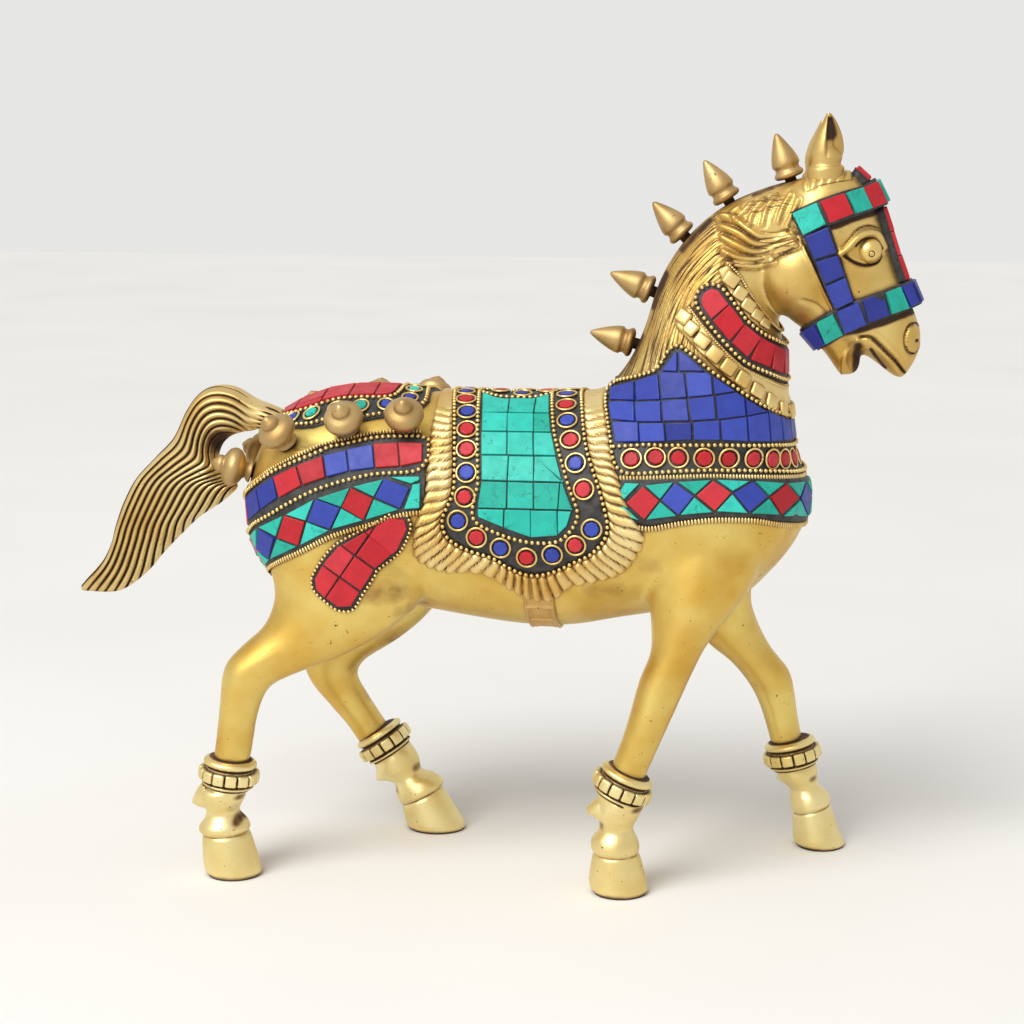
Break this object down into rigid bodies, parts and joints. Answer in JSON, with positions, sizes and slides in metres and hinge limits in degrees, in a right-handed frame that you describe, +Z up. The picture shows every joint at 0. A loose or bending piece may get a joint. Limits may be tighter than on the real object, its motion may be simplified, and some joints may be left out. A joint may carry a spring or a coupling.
{
  "type": "brass running horse statue",
  "caption": "Striding brass horse figurine with hollow cast body, raised mane studs, curled tail, hoof anklets and set-stone saddle, chest, rump and bridle trappings.",
  "frame": {"origin": "middle of the length and width of the whole horse, on the plane of the four soles", "axes": "+X the way the horse faces, +Z up, -Y the near side"},
  "size_m": [0.3054, 0.0872, 0.2718],
  "materials": {
    "brass": "satin, aged in the recesses",
    "bright_brass": "polished on the high spots",
    "coral_red": "ground stone chips in lac",
    "lapis_blue": "ground stone chips in lac",
    "turquoise": "ground stone chips in lac",
    "black_lac": "dark lac with ring settings"
  },
  "bodies": {
    "root": {"torso_casting": "brass", "neck_casting": "brass", "head_casting": "brass", "near_fore_leg": "brass", "far_fore_leg": "brass", "near_hind_leg": "brass", "far_hind_leg": "brass", "tail_casting": "brass", "near_ear": "brass", "far_ear": "brass", "mane_finial_1": "bright_brass", "mane_finial_2": "bright_brass", "mane_finial_3": "bright_brass", "mane_finial_4": "bright_brass", "mane_finial_5": "bright_brass", "near_bell_1": "bright_brass", "near_bell_2": "bright_brass", "near_bell_3": "bright_brass", "near_bell_4": "bright_brass", "far_bell_1": "bright_brass", "far_bell_2": "bright_brass", "far_bell_3": "bright_brass", "far_bell_4": "bright_brass", "saddle_fringe": "bright_brass", "saddle_ring_border": "black_lac", "saddle_turquoise_near": "turquoise", "saddle_turquoise_far": "turquoise", "girth_strap": "brass", "chest_lapis_panel": "lapis_blue", "chest_ring_band": "black_lac", "chest_diamond_band": "coral_red", "collar_coral_band": "coral_red", "collar_upper_bosses": "bright_brass", "collar_lower_bosses": "bright_brass", "rump_coral_strip": "coral_red", "rump_ring_border": "black_lac", "rump_coral_lapis_band": "lapis_blue", "rump_diamond_band": "turquoise", "thigh_drop_near": "coral_red", "thigh_drop_far": "coral_red", "face_strap": "coral_red", "near_browband": "turquoise", "far_browband": "turquoise", "near_cheekpiece": "lapis_blue", "far_cheekpiece": "lapis_blue", "noseband": "lapis_blue"}
  },
  "joints": []
}
